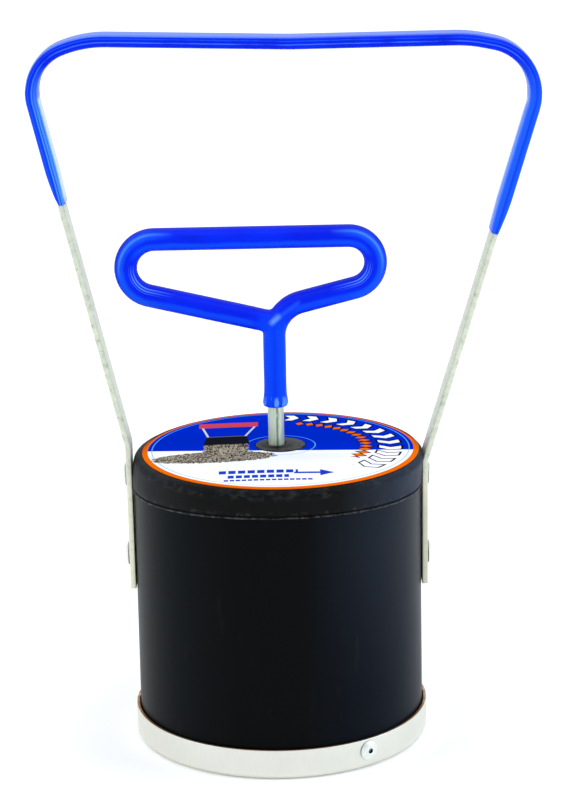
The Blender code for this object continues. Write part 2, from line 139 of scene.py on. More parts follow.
def filleted(corners, arc_step, closed=False):
    """Points along (x, z, radius) corners, with an arc of that radius at each one."""
    points = []
    count = len(corners)
    for index, corner in enumerate(corners):
        at = Vector(corner[:2])
        at_end = not closed and index in (0, count - 1)
        if at_end or corner[2] == 0.0:
            points.append(at)
            continue
        back = (Vector(corners[index - 1][:2]) - at).normalized()
        on = (Vector(corners[(index + 1) % count][:2]) - at).normalized()
        opening = back.angle(on)
        turn = pi - opening
        centre = at + (back + on).normalized() * (corner[2] / sin(opening / 2))
        start = at + back * (corner[2] * tan(turn / 2)) - centre
        side = 1.0 if back.cross(on) < 0 else -1.0
        steps = max(2, ceil(turn / arc_step))
        for step in range(steps + 1):
            points.append(centre + Matrix.Rotation(side * turn * step / steps, 2) @ start)
    return points


def spaced(points, gap, closed=False):
    """The same line with extra points, so that none of its runs is longer than a gap."""
    ends = points[1:] + (points[:1] if closed else [])
    line = []
    for start, end in zip(points, ends):
        count = max(1, ceil((end - start).length / gap))
        line += [start.lerp(end, index / count) for index in range(count)]
    if not closed:
        line.append(points[-1])
    return line


def cross_directions(points):
    """The direction square to a line at each of its points."""
    normals = []
    for index in range(len(points)):
        ahead = points[min(index + 1, len(points) - 1)]
        behind = points[max(index - 1, 0)]
        along = (ahead - behind).normalized()
        normals.append(Vector((-along.y, along.x)))
    return normals


def in_metres(corners):
    return [(x * MM, z * MM, radius * MM) for x, z, radius in corners]


def circle(radius, sides):
    turns = [tau * (index + 0.5) / sides for index in range(sides)]
    return [(radius * cos(turn), radius * sin(turn)) for turn in turns]


def even_turns(count, fine_at=None, fine_width=0.0, fine_count=0):
    """Turns round the can, with a patch of closer ones where fine detail needs them."""
    turns = [tau * index / count for index in range(count)]
    if fine_at is not None:
        start = fine_at - fine_width / 2
        turns = [turn for turn in turns
                 if abs((turn - fine_at + pi) % tau - pi) > fine_width / 2]
        turns += [(start + fine_width * index / fine_count) % tau
                  for index in range(fine_count + 1)]
    return sorted(turns)


def rough(x, y, z, scale):
    """Smooth noise from about -1 to 1 at a point in metres, its lumps one scale apart."""
    return noise.noise(Vector((x, y, z)) / scale)


# -------- meshes

def bridge(bm, first, second):
    """Quads between two closed loops of as many points."""
    count = len(first)
    for index in range(count):
        after = (index + 1) % count
        bm.faces.new((first[index], first[after], second[after], second[index]))


def revolved(profile, turns, closed=True, reshape=None):
    """Spins (radius, z) points about Z. An open profile starts and ends on the axis.

    reshape(turn, radius, z) may move a point a little before it is placed.
    """
    bm = bmesh.new()
    loops = []
    for radius, z in profile:
        if radius < 1e-6:               # on the axis
            loops.append(bm.verts.new((0.0, 0.0, z)))
            continue
        loop = []
        for turn in turns:
            at_r, at_z = reshape(turn, radius, z) if reshape else (radius, z)
            loop.append(bm.verts.new((at_r * cos(turn), at_r * sin(turn), at_z)))
        loops.append(loop)
    pairs = list(zip(loops, loops[1:]))
    if closed:
        pairs.append((loops[-1], loops[0]))
    for first, second in pairs:
        if isinstance(first, list) and isinstance(second, list):
            bridge(bm, first, second)
            continue
        pole, loop = (second, first) if isinstance(first, list) else (first, second)
        for index, vert in enumerate(loop):
            bm.faces.new((pole, vert, loop[(index + 1) % len(loop)]))
    return bm


def swept(points, section_at):
    """A bar in the XZ plane: section_at(index) gives the (across, y) pairs at a point."""
    bm = bmesh.new()
    across_layer = bm.verts.layers.float.new("across")
    loops = []
    for index, (point, normal) in enumerate(zip(points, cross_directions(points))):
        loop = []
        for across, y in section_at(index):
            place = point + normal * across
            vert = bm.verts.new((place.x, y, place.y))
            vert[across_layer] = across / MM
            loop.append(vert)
        loops.append(loop)
    for first, second in zip(loops, loops[1:]):
        bridge(bm, first, second)
    return bm, loops


def capped(bm, loops):
    """Closes both ends of a bar."""
    bm.faces.new(loops[0])
    bm.faces.new(loops[-1])
    return bm


def mesh_object(name, bm, sharp_angle=40.0):
    bmesh.ops.recalc_face_normals(bm, faces=bm.faces)
    mesh = bpy.data.meshes.new(name)
    bm.to_mesh(mesh)
    bm.free()
    mesh.shade_smooth()
    mesh.set_sharp_from_angle(angle=radians(sharp_angle))
    made = bpy.data.objects.new(name, mesh)
    bpy.context.scene.collection.objects.link(made)
    return made


def finish_piece(made, material, body, slot, *replaced):
    made.data.materials.append(material)
    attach(made, body)
    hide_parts(*replaced)


# -------- node materials

class Number:
    """A socket that holds a number, with Python's signs standing for Math nodes."""

    def __init__(self, tree, socket):
        self.tree = tree
        self.socket = socket

    def through(self, operation, *others, clamp=False):
        node = self.tree.nodes.new("ShaderNodeMath")
        node.operation = operation
        node.use_clamp = clamp
        for place, value in zip(node.inputs, (self,) + others):
            feed(self.tree, value, place)
        return Number(self.tree, node.outputs[0])

    def __add__(self, other):
        return self.through("ADD", other)

    def __sub__(self, other):
        return self.through("SUBTRACT", other)

    def __mul__(self, other):
        return self.through("MULTIPLY", other)

    def __rsub__(self, other):
        return self * -1.0 + other

    def __truediv__(self, other):
        return self.through("DIVIDE", other)

    def __abs__(self):
        return self.through("ABSOLUTE")

    def over(self, limit, soft):
        """1 above a limit and 0 below it, with a soft step."""
        return self.through("MULTIPLY_ADD", 1.0 / soft, 0.5 - limit / soft, clamp=True)

    def under(self, limit, soft):
        return self.through("MULTIPLY_ADD", -1.0 / soft, 0.5 + limit / soft, clamp=True)

    def between(self, bottom, top, soft):
        return self.over(bottom, soft) * self.under(top, soft)


def feed(tree, value, socket):
    """Links a Number or a socket into a socket, or sets a plain value on it."""
    if isinstance(value, Number):
        tree.links.new(value.socket, socket)
    elif isinstance(value, bpy.types.NodeSocket):
        tree.links.new(value, socket)
    else:
        socket.default_value = value


class Finish:
    """A material under construction: its textures are laid out in the part's own frame."""

    def __init__(self, name, **uniform):
        self.material = bpy.data.materials.new(name)
        self.material.use_nodes = True
        self.tree = self.material.node_tree
        self.shader = self.tree.nodes["Principled BSDF"]
        coordinates = self.tree.nodes.new("ShaderNodeTexCoord")
        self.place = coordinates.outputs["Object"]
        self.normal = coordinates.outputs["Normal"]
        for socket, value in uniform.items():
            self.shader.inputs[socket.replace("_", " ")].default_value = value

    def split(self, vector):
        node = self.tree.nodes.new("ShaderNodeSeparateXYZ")
        self.tree.links.new(vector, node.inputs[0])
        return [Number(self.tree, output) for output in node.outputs]

    def axes(self):
        """x, y and z in mm."""
        return [part * (1.0 / MM) for part in self.split(self.place)]

    def facing(self):
        """The surface's direction: its x, y and z parts, each -1 to 1."""
        return self.split(self.normal)

    def stored(self, name):
        """A number stored at each of the mesh's points."""
        node = self.tree.nodes.new("ShaderNodeAttribute")
        node.attribute_name = name
        return Number(self.tree, node.outputs["Fac"])

    def noise(self, lump, detail=3.0, roughness=0.55, x=1.0, y=1.0, z=1.0):
        """Smooth noise from 0 to 1, its lumps about that many millimetres apart.

        An x, y or z below 1 draws the lumps out along that axis.
        """
        mapping = self.tree.nodes.new("ShaderNodeMapping")
        mapping.inputs["Scale"].default_value = (x, y, z)
        self.tree.links.new(self.place, mapping.inputs["Vector"])
        node = self.tree.nodes.new("ShaderNodeTexNoise")
        node.inputs["Scale"].default_value = 1.0 / (lump * MM)
        node.inputs["Detail"].default_value = detail
        node.inputs["Roughness"].default_value = roughness
        self.tree.links.new(mapping.outputs[0], node.inputs["Vector"])
        return Number(self.tree, node.outputs[0])

    def cells(self, size):
        """Distance to the nearest of scattered points, about that many millimetres apart."""
        node = self.tree.nodes.new("ShaderNodeTexVoronoi")
        node.inputs["Scale"].default_value = 1.0 / (size * MM)
        self.tree.links.new(self.place, node.inputs["Vector"])
        return Number(self.tree, node.outputs["Distance"])

    def mix(self, share, under, over):
        node = self.tree.nodes.new("ShaderNodeMix")
        node.data_type = "RGBA"
        feed(self.tree, share, node.inputs["Factor"])
        for name, value in (("A", under), ("B", over)):
            socket = next(s for s in node.inputs if s.name == name and s.type == "RGBA")
            feed(self.tree, value, socket)
        return next(s for s in node.outputs if s.type == "RGBA")

    def set(self, socket, value):
        feed(self.tree, value, self.shader.inputs[socket])

    def base(self, share, under, over):
        """The first colour, mixed from two."""
        self.colour = self.mix(share, under, over)
        self.set("Base Color", self.colour)

    def paint(self, share, over):
        """Lays a colour over what is there already, by a share from 0 to 1."""
        self.base(share, self.colour, over)

    def bump(self, height, depth, strength):
        """Height from 0 to 1 stands for a relief that many millimetres deep."""
        node = self.tree.nodes.new("ShaderNodeBump")
        node.inputs["Strength"].default_value = strength
        node.inputs["Distance"].default_value = depth * MM
        feed(self.tree, height, node.inputs["Height"])
        self.tree.links.new(node.outputs[0], self.shader.inputs["Normal"])


def rgb(red, green, blue):
    """A screen colour, 0 to 255, as the linear one that a shader takes."""
    linear = []
    for level in (red, green, blue):
        share = level / 255.0
        linear.append(share / 12.92 if share <= 0.04045 else ((share + 0.055) / 1.055) ** 2.4)
    return (*linear, 1.0)


def can_plastic():
    """Black extruded pipe with drawn lines: darkest in front, with a painted reflection, slate, on
    its sides, bluer on the right.
    """
    made = Finish("can_plastic", Specular_IOR_Level=0.05)
    x, _, z = made.axes()
    cloud = made.noise(22.0, z=0.5)
    drawn = made.noise(1.4, detail=2.0, z=0.02)
    scuff = made.noise(3.0, detail=6.0, z=0.15).over(0.70, 0.12)
    made.base(cloud, rgb(2, 3, 4), rgb(5, 6, 8))
    # Painted reflection: bluer and lighter on the right side, slate towards its top, a little
    # lighter on the left
    made.paint(x.over(30.0, 44.0) * 0.9, rgb(6, 18, 31))
    made.paint(x.over(30.0, 36.0) * z.over(60.0, 60.0) * 0.8, rgb(30, 36, 46))
    made.paint(x.under(-36.0, 40.0) * 0.8, rgb(6, 14, 18))
    made.paint(scuff * 0.4, rgb(30, 30, 32))
    made.set("Roughness", cloud * 0.10 + drawn * 0.06 + 0.30)
    made.bump(drawn * 0.6 + cloud * 0.4, 0.02, 0.35)
    return made.material


def cap_plastic():
    """Soft black moulding, duller than the pipe: worn patches with a painted sheen on its
    shoulder, dusty by its lip, a painted reflection on its sides, a painted highlight on its lip
    and painted shade in the groove above it.
    """
    made = Finish("cap_plastic", Specular_IOR_Level=0.07)
    x, y, z = made.axes()
    cloud = made.noise(9.0, detail=5.0)
    grain = made.noise(0.7, detail=2.0)
    shoulder = z.between(112.8, 116.4, 1.6)
    rub_and_sheen = made.noise(4.0, detail=6.0, roughness=0.65, z=1.8).over(0.58, 0.2)
    above_edge = z - y * y * (SKIRT_RISE / CAP_R ** 2 * MM) - CAP_BOTTOM / MM
    lip_high = LIP_HIGH / MM
    patchy = made.noise(2.2, detail=4.0)
    lip = above_edge.under(lip_high, 0.3) * patchy.over(0.50, 0.2)
    groove = above_edge.between(lip_high, lip_high + 0.8, 0.3)
    dusty = above_edge.between(1.2, 2.6, 0.8) * patchy.over(0.60, 0.15)
    made.base(cloud, rgb(5, 5, 5), rgb(15, 15, 15))
    # Painted reflection: lighter and bluer on the right side, lighter on the left
    made.paint(x.over(38.0, 30.0) * 0.85, rgb(38, 48, 65))
    made.paint(x.under(-42.0, 24.0) * 0.6, rgb(30, 34, 38))
    # Worn patches on the shoulder, lightened as a painted sheen
    made.paint(rub_and_sheen * shoulder * 0.36, rgb(66, 68, 72))
    made.paint(dusty * 0.36, rgb(78, 74, 66))
    # Painted highlight along the lip, and painted shade in the groove above it
    made.paint(lip * 0.6, rgb(84, 88, 92))
    made.paint(groove * 0.8, rgb(4, 4, 4))
    made.set("Roughness", cloud * 0.16 + 0.42)
    made.bump(grain * 0.35 + cloud * 0.65, 0.12, 0.45)
    return made.material


def pan_metal():
    """Pale satin sheet with fine grain, soft stains and a brown raw edge."""
    made = Finish("pan_metal", Metallic=1.0)
    _, _, z = made.axes()
    stain = made.noise(14.0, detail=4.0)
    grain = made.noise(0.5, z=0.12)
    made.base(stain, rgb(224, 224, 215), rgb(238, 236, 227))
    made.paint(grain.over(0.55, 0.3) * 0.16, rgb(214, 218, 208))
    raw_edge = z.over(PAN_TOP / MM - 0.16, 0.12)
    made.paint(raw_edge, rgb(176, 128, 84))
    made.set("Roughness", stain * 0.10 + grain * 0.12 + 0.34)
    made.bump(grain, 0.02, 0.4)
    return made.material


def rivet_metal(name, dark, light, rim):
    """Satin rivet: its bore black with painted shade, and its head darkened near its rim by
    painted shade.
    """
    made = Finish(name, Metallic=0.85)
    cloud = made.noise(1.2, detail=4.0)
    made.base(cloud, dark, light)
    # Painted shade round the foot of the head, and in the bore
    made.paint(made.stored("rise").under(0.24, 0.3), rim)
    made.paint(made.stored("bore").over(0.4, 0.3), rgb(12, 12, 12))
    made.set("Roughness", cloud * 0.2 + 0.30)
    made.bump(cloud, 0.03, 0.4)
    return made.material


def strap_metal():
    """Zinc-plated strip: slightly green, mottled, yellower on its legs, duller on the right."""
    made = Finish("strap_metal", Metallic=0.9)
    x, y, z = made.axes()
    across = made.stored("across")
    mottle = made.noise(2.4, detail=6.0, roughness=0.7)
    rolled = made.noise(0.8, z=0.08)
    made.base(mottle.over(0.5, 0.5), rgb(190, 196, 177), rgb(233, 237, 219))
    made.paint(mottle.under(0.38, 0.1) * 0.42, rgb(140, 149, 128))
    made.paint(z.under(108.0, 12.0) * 0.5, rgb(246, 240, 214))
    right_leg = x.over(50.0, 4.0) * z.under(100.0, 14.0)
    made.paint(right_leg * 0.3, rgb(122, 130, 102))
    # A burr along the inner edge, darkened further by painted shade
    inner_edge = abs(y).over(6.0, 0.4) * across.between(-1.4, -0.55, 0.3)
    made.paint(inner_edge * 0.14, rgb(126, 134, 120))
    made.set("Roughness", mottle * 0.25 + rolled * 0.1 + 0.30)
    made.bump(mottle * 0.6 + rolled * 0.4, 0.05, 0.5)
    return made.material


def plated_steel():
    """Bright zinc plate with fine drawn lines, for the small pieces inside."""
    made = Finish("plated_steel", Metallic=1.0)
    drawn = made.noise(0.5, z=0.03)
    cloud = made.noise(3.0, detail=5.0)
    made.base(cloud, rgb(186, 198, 184), rgb(222, 230, 218))
    made.paint(drawn.under(0.42, 0.1) * 0.4, rgb(120, 130, 120))
    made.set("Roughness", cloud * 0.14 + drawn * 0.12 + 0.16)
    made.bump(drawn * 0.7 + cloud * 0.3, 0.02, 0.5)
    return made.material


def rod_steel():
    """Pale zinc-plated rod, with a dark stripe down its front and back."""
    made = Finish("rod_steel", Metallic=0.55, Specular_IOR_Level=0.3)
    x, _, _ = made.axes()
    drawn = made.noise(0.6, z=0.03)
    cloud = made.noise(2.0, detail=5.0, z=0.4)
    mark = abs(x - 0.5 + (cloud - 0.5) * 0.8).under(0.42, 0.5) * cloud.over(0.34, 0.2)
    made.base(cloud, rgb(186, 202, 180), rgb(232, 244, 224))
    made.paint(drawn.under(0.42, 0.1) * 0.35, rgb(136, 150, 132))
    made.paint(mark * 0.75, rgb(58, 80, 66))
    made.set("Roughness", cloud * 0.14 + drawn * 0.12 + 0.26)
    made.bump(drawn * 0.7 + cloud * 0.3, 0.02, 0.5)
    return made.material


def sleeve_vinyl():
    """Dipped vinyl, glossy, with a painted reflection on its upper and inner faces, and fine
    ridges along the bail drawn with painted highlight and shade lines.
    """
    made = Finish("sleeve_vinyl", Specular_IOR_Level=0.05, Coat_Roughness=0.12, Coat_IOR=1.6)
    x, y, z = made.axes()
    across = made.stored("across")
    cloud = made.noise(16.0)
    wave = (made.noise(11.0, detail=2.0) - 0.5) * 0.5
    arms = z.under(262.0, 20.0)
    left = x.under(0.0, 60.0)
    right_arm = x.over(60.0, 30.0) * arms
    inside = across.between(-2.3, -0.1, 0.4)
    # Painted reflection on the inner faces of the arms
    pale = inside * arms * (left * 0.55 + 0.25)
    # Lines along the bail: fine ridges darkened by painted shade, and painted highlight lines
    # beside them
    shaded_ridge = ((across + wave) * 0.84 + 0.95).through("FRACT").between(0.16, 0.50, 0.16)
    highlight_line = (across + wave).between(-0.45, -0.05, 0.25) * cloud.over(0.45, 0.2)
    outer_highlight = (across + wave).between(0.95, 1.30, 0.25) * cloud.over(0.42, 0.2)
    smear = made.noise(5.0, detail=5.0).over(0.64, 0.16)
    made.base(cloud.over(0.5, 0.4), rgb(0, 29, 214), rgb(0, 44, 236))
    made.paint(arms * 0.6, rgb(0, 76, 240))
    made.paint(smear * 0.4, rgb(0, 34, 170))
    made.paint(outer_highlight * 0.3, rgb(52, 128, 255))
    made.paint(pale, rgb(76, 150, 255))
    made.paint(highlight_line * 0.4, rgb(92, 160, 255))
    made.paint(shaded_ridge * inside * left * (arms * 0.7 + 0.1), rgb(0, 48, 176))
    made.paint(right_arm * 0.6, rgb(22, 94, 246))
    middle = (across + wave).between(-0.5, 0.2, 0.4)
    made.paint(middle * right_arm * 0.7, rgb(0, 42, 222))
    # Painted reflection, azure, along the inner faces
    made.paint(across.under(-2.2, 0.3) * 0.35, rgb(30, 150, 250))

    # Upper faces shine with a real coat of gloss and a painted reflection in their colour, but on
    # the right arm only towards the back
    _, aside, up = made.facing()
    beyond = 20.0       # well past the sleeve's edges
    shining = (y + (1.0 - right_arm) * beyond).over(2.0, 3.5)
    upper_face = (abs(aside) - left * 0.22).under(0.22, 0.34) * up.over(0.12, 0.14) * shining
    sheen = made.mix(arms, rgb(48, 128, 240), rgb(10, 158, 238))
    made.paint(upper_face * 0.65, sheen)
    made.set("Coat Weight", upper_face * (up.under(0.5, 0.4) * 0.45 + 0.45))
    made.set("Roughness", cloud * 0.10 + 0.26)
    made.bump(shaded_ridge * inside * 0.4 + cloud * 0.6, 0.10, 0.4)
    return made.material


def grip_vinyl():
    """Dipped vinyl: satin and smudged, with painted highlights (azure bands, arcs and pale lines)
    round the bends, stem and bead, and painted shade along its edges.
    """
    made = Finish("grip_vinyl", Specular_IOR_Level=0.04, Coat_Roughness=0.22, Coat_IOR=1.5)
    x, y, z = made.axes()
    across = made.stored("across")        # positive towards the inside of the loop
    cloud = made.noise(14.0, x=0.5)
    smudge = made.noise(6.0, detail=6.0, x=0.13, roughness=0.6).over(0.58, 0.16)
    fine = made.noise(0.9)
    wave = (made.noise(12.0) - 0.5) * 1.4
    drift = across + wave
    made.base(cloud.over(0.5, 0.4), rgb(0, 30, 222), rgb(0, 45, 243))

    # Bar: smudged on top, with a painted highlight, an azure band, under its middle
    on_bar = z.over(BAR_Z - 6.0, 4.0)
    made.paint(smudge * on_bar * 0.5, rgb(2, 26, 140))
    made.paint(drift.between(1.0, 3.0, 1.2) * on_bar * 0.5, rgb(14, 96, 255))

    # End bends: painted highlights, a wide azure band outside, a thin pale arc in it, pale lines
    # inside
    ends = x.under(LEFT_BEND_X + 2.0, 12.0) + x.over(RIGHT_BEND_X - 2.0, 12.0)
    made.paint(drift.between(-3.6, -0.9, 1.4) * ends * 0.5, rgb(22, 108, 250))
    arc = across.between(-3.0, -2.2, 0.7) * z.over(191.0, 8.0)
    made.paint(arc * ends * 0.45, rgb(104, 166, 255))
    lines = (across * 1.1).through("FRACT").between(0.2, 0.6, 0.3)
    low_inside = across.between(1.4, 3.6, 0.6) * z.under(190.0, 7.0) * z.over(179.0, 6.0)
    made.paint(lines * low_inside * ends * 0.75, rgb(104, 166, 255))
    # Painted shade: a dark band along both edges of the rod, all round
    made.paint(abs(across).over(3.9, 0.7) * 0.45, rgb(0, 22, 150))

    # Branches: painted light and shade, lighter below their middle than above it
    branches = (1.0 - on_bar.through("MAXIMUM", ends)) * abs(x).over(7.0, 5.0)
    made.paint(drift.between(-2.8, -0.4, 1.0) * branches * 0.5, rgb(14, 88, 252))
    made.paint(drift.between(0.4, 3.2, 1.2) * branches * 0.5, rgb(0, 30, 220))

    # Stem: painted highlights, azure, on both sides of a middle darkened by painted shade
    on_stem = abs(x).under(6.0, 3.0) * z.under(RIGHT_ROOT_Z - 4.0, 9.0)
    made.paint(on_stem * 0.75, rgb(2, 78, 252))
    middle = abs(x + (cloud - 0.5) * 1.2).under(0.7, 2.2)
    made.paint(on_stem * middle * 0.8, rgb(0, 50, 232))

    # Painted highlights: along the bend above the stem, and in the folds of the bead
    front = y.under(-1.5, 2.0)
    root = RIGHT_ROOT_Z
    highlight_streak = slanted_line(x, z, (-1.2, root - 4.6), (10.0, root + 3.6), 0.7, 2.0)
    shine = slanted_line(x, z, (-1.3, root - 5.0), (2.2, root - 1.8), 1.3, 1.9)
    made.paint(highlight_streak * front * 0.45, rgb(52, 128, 255))
    made.paint(shine * front * 0.75, rgb(120, 176, 252))
    folds = made.noise(1.5, detail=2.0, z=0.15).over(0.54, 0.12)
    bead = z.between(GRIP_BOTTOM / MM + 1.0, GRIP_BOTTOM / MM + 4.8, 1.2)
    made.paint(folds * bead * 0.75, rgb(110, 172, 255))
    made.set("Coat Weight", made.facing()[2].over(0.3, 0.5) * 0.10)
    made.set("Roughness", cloud * 0.10 + fine * 0.06 + 0.30)
    made.bump(cloud * 0.6 + folds * bead * 0.4, 0.10, 0.35)
    return made.material


def hub_plastic():
    """Turned black bushing: painted highlights as pale specks on its flange, and painted shade,
    nearly black, where the rod goes in.
    """
    made = Finish("hub_plastic", Specular_IOR_Level=0.12)
    x, y, _ = made.axes()
    cloud = made.noise(2.5, detail=4.0)
    flange_highlight = made.noise(1.6, detail=5.0, z=0.5).over(0.50, 0.16)
    out = (x * x + y * y).through("SQRT")
    made.base(cloud, rgb(14, 14, 15), rgb(28, 28, 29))
    # Painted highlight: pale specks on the flange
    made.paint(flange_highlight * out.over(7.4, 1.2) * 0.45, rgb(92, 90, 80))
    # Painted shade round the bore
    made.paint(out.under(6.2, 1.6) * 0.8, rgb(3, 3, 3))
    made.set("Roughness", cloud * 0.2 + 0.32)
    made.bump(cloud, 0.05, 0.4)
    return made.material


def ferrite():
    """Ground ceramic magnet: dark grey with a fine crystal sparkle and grinding lines."""
    made = Finish("ferrite", Specular_IOR_Level=0.5)
    grain = made.cells(0.5)
    ground = made.noise(0.6, detail=2.0, y=0.05)
    made.base(grain, rgb(52, 52, 55), rgb(86, 86, 90))
    made.set("Roughness", ground * 0.3 + 0.42)
    made.bump(ground * 0.5 + grain * 0.5, 0.05, 0.5)
    return made.material


def rubber():
    """Black moulded rubber with a fine matt grain."""
    made = Finish("rubber", Specular_IOR_Level=0.3)
    grain = made.noise(0.4, detail=4.0)
    made.base(grain, rgb(22, 22, 22), rgb(42, 41, 40))
    made.set("Roughness", grain * 0.2 + 0.7)
    made.bump(grain, 0.08, 0.6)
    return made.material


def floor_paint():
    """White studio floor, lit a little from within so that the shadows on it stay faint."""
    made = Finish("floor_paint", Specular_IOR_Level=0.0, Emission_Strength=0.11)
    cloud = made.noise(300.0, detail=2.0)
    made.base(cloud, (0.93, 0.93, 0.93, 1.0), (0.95, 0.95, 0.95, 1.0))
    made.set("Roughness", cloud * 0.1 + 0.85)
    return made.material


# -------- label print

INK_EDGE = 0.14                 # softness of a printed edge, in mm

WHITE = rgb(250, 250, 250)
BLUE = rgb(0, 40, 190)
ORANGE = rgb(238, 108, 8)
CYAN = rgb(96, 190, 232)
BLACK = rgb(14, 14, 16)


def ring_of_marks(polar, first, last, radius, half_height, pitch):
    """Places in a ring of repeated marks: how far along from each mark's middle in mm, how far
    in or out as a share of its half height, and a mask from the first to the last degree."""
    out, turn = polar
    along = (turn - first) * (radians(1.0) * radius)
    cell = (along / pitch).through("FRACT") - 0.5
    rise = abs(out - radius) / half_height
    return cell * pitch, rise, turn.between(first, last, 0.3)


def slanted_line(x, y, start, end, width, soft=INK_EDGE):
    """A mask along a straight line between two points, in mm."""
    run = Vector(end) - Vector(start)
    length = run.length
    along = ((x - start[0]) * run.x + (y - start[1]) * run.y) / length
    aside = abs((x - start[0]) * run.y - (y - start[1]) * run.x) / length
    return along.between(0.0, length, soft) * aside.under(width / 2, soft)


def label_print():
    """Printed film: blue behind and white in front, in an orange ring, with plain marks."""
    made = Finish("label_print", Specular_IOR_Level=0.0)
    x, y, _ = made.axes()
    x = x - LABEL_X / MM
    out = (x * x + y * y).through("SQRT")
    turn = x.through("ARCTAN2", y) * degrees(1.0)      # 0 at the back, 90 at the right

    # Fields: the border bows a little, which makes it look straight over the lid's crown
    border = x * x * 0.0017 - x * 0.045 - 7.8
    blue_side = (y - border).over(0.0, INK_EDGE)
    shade = y.between(-21.0, -9.0, 9.0) * x.between(-4.0, 30.0, 16.0) * 0.22
    ground = made.mix(shade, WHITE, rgb(196, 198, 206))
    made.base(blue_side, ground, BLUE)

    # Hairlines, one inside the rim and one round the hub
    for radius, width in ((51.1, 0.45), (13.85, 0.4)):
        line = out.between(radius - width / 2, radius + width / 2, INK_EDGE)
        made.paint(line * 0.8, CYAN)

    # A heap of small pins in front, and a clump of them under the pictured lifter
    ragged = made.noise(1.3, detail=4.0) - 0.5
    heap_x = (x + 26.5) / 25.5
    heap_y = (y + 14.0) / 7.6
    heap = (heap_x * heap_x + heap_y * heap_y + ragged * 0.9).under(0.92, 0.10)
    clump = ((abs(x + 21.5) + ragged * 5.0).under(8.8, 0.5)
             * (y + ragged * 4.0).between(-8.0, 3.6, 0.6))
    speck = made.noise(0.8, y=0.45, roughness=0.7).over(0.5, 0.16)
    pins = made.mix(speck, rgb(54, 46, 38), rgb(172, 162, 142))
    made.paint(heap.through("MAXIMUM", clump), pins)

    # The pictured lifter: a can, two thin arms and a red bar
    lean = y * 0.10
    can = abs(x + 21.5) + lean
    body = can.under(9.6, INK_EDGE) * y.between(3.0, 15.5, INK_EDGE)
    made.paint(body, rgb(22, 24, 32))
    made.paint(body * y.over(14.4, INK_EDGE), rgb(88, 92, 98))
    for start, end in (((-29.0, 15.0), (-32.0, 33.0)), ((-14.0, 15.0), (-9.5, 33.0))):
        made.paint(slanted_line(x, y, start, end, 0.9), rgb(206, 212, 214))
    made.paint(slanted_line(x, y, (-33.0, 33.5), (-9.0, 33.5), 7.4), rgb(206, 66, 82))

    # Outlined chevrons in white, and outlined diamonds in orange, round the right side
    polar = (out, turn)
    along, rise, stretch = ring_of_marks(polar, 1.0, 134.0, 43.6, 4.3, 8.4)
    arm = abs(along + rise * 2.4 - 1.2)
    for widen, ink in ((0.85, BLACK), (0.0, WHITE)):
        mark = arm.under(1.75 + widen, INK_EDGE) * rise.under(1.0 + widen / 4.3, 0.05)
        made.paint(mark * stretch, ink)
    along, rise, stretch = ring_of_marks(polar, 10.0, 121.0, 34.0, 2.7, 4.3)
    spread = abs(along) / 1.8 + rise
    for reach, ink in ((1.35, BLACK), (0.95, ORANGE)):
        made.paint(spread.under(reach, 0.08) * stretch, ink)

    # Three rows of plain dashes and an arrow in the front field
    for middle, half, start, end, pitch in (
            (-34.5, 1.9, -24.0, 6.5, 3.7),
            (-40.0, 1.7, -20.5, 3.0, 3.1),
            (-44.2, 0.9, -22.0, 12.0, 2.3)):
        dash = ((x - start) / pitch).through("FRACT").under(0.76, 0.05)
        row = abs(y - middle).under(half, INK_EDGE) * x.between(start, end, INK_EDGE)
        made.paint(dash * row, rgb(24, 62, 186))
    arrow = abs(y + 36.5).under(1.0, INK_EDGE) * x.between(5.0, 15.5, INK_EDGE)
    head = (abs(y + 36.5) * 1.5 + x).under(20.5, INK_EDGE) * x.over(15.0, INK_EDGE)
    made.paint(arrow.through("MAXIMUM", head), rgb(24, 62, 186))

    made.paint(out.over(52.75, INK_EDGE), ORANGE)
    # Painted shade: a dark band along the label's back edge
    made.paint(out.over(53.7, 0.3) * y.over(8.0, 20.0) * 0.85, rgb(60, 50, 48))
    made.set("Roughness", ragged * 0.08 + 0.34)
    made.bump(made.noise(6.0), 0.05, 0.2)
    return made.material


# -------- can

def lid_top(radius):
    """Height of the crowned lid at a radius."""
    return CAP_EDGE_Z + CROWN * (1.0 - (radius / CROWN_R) ** 2)


def make_can_wall(material):
    inner = TUBE_R - TUBE_WALL
    corner = 0.5 * MM
    outline = filleted([(inner, TUBE_BOTTOM, corner), (TUBE_R, TUBE_BOTTOM, corner),
                        (TUBE_R, TUBE_TOP, corner), (inner, TUBE_TOP, corner)],
                       radians(30.0), closed=True)

    def reshape(turn, radius, z):
        """Extruded pipe is never quite round."""
        ring, lump = 20.0 * MM, 8.0 * MM
        wave = rough(cos(turn) * ring, sin(turn) * ring, z * 0.2, lump)
        return radius + 0.05 * MM * wave, z

    bm = revolved(spaced(outline, 6.0 * MM, closed=True), even_turns(160), reshape=reshape)
    finish_piece(mesh_object("can_wall", bm), material, "housing", "black_plastic",
                 "housing_tube")


def make_pan(material):
    inner = PAN_R - PAN_SHEET
    bend = 2.6 * MM
    outline = filleted([(0.0, 0.0, 0.0), (PAN_R, 0.0, bend), (PAN_R, PAN_TOP, 0.3 * MM),
                        (inner, PAN_TOP, 0.2 * MM), (inner, PAN_SHEET, bend - PAN_SHEET),
                        (0.0, PAN_SHEET, 0.0)], radians(15.0))

    def reshape(turn, radius, z):
        """The rolled wall is a little wavy, and its cut edge is ragged."""
        x, y = cos(turn), sin(turn)
        height = min(max(z / PAN_TOP, 0.0), 1.0)
        wave = 0.10 * MM * rough(x, y, 0.3, 0.5) * height
        ragged = 0.09 * MM * rough(x, y, 0.0, 0.05) + 0.07 * MM * rough(x, y, 2.0, 0.3)
        return radius + wave, z + (ragged - 0.1 * MM) * height ** 6

    bm = revolved(spaced(outline, 4.0 * MM), even_turns(288), closed=False, reshape=reshape)
    finish_piece(mesh_object("pan_shell", bm), material, "housing", "pan_sheet", "base_pan")


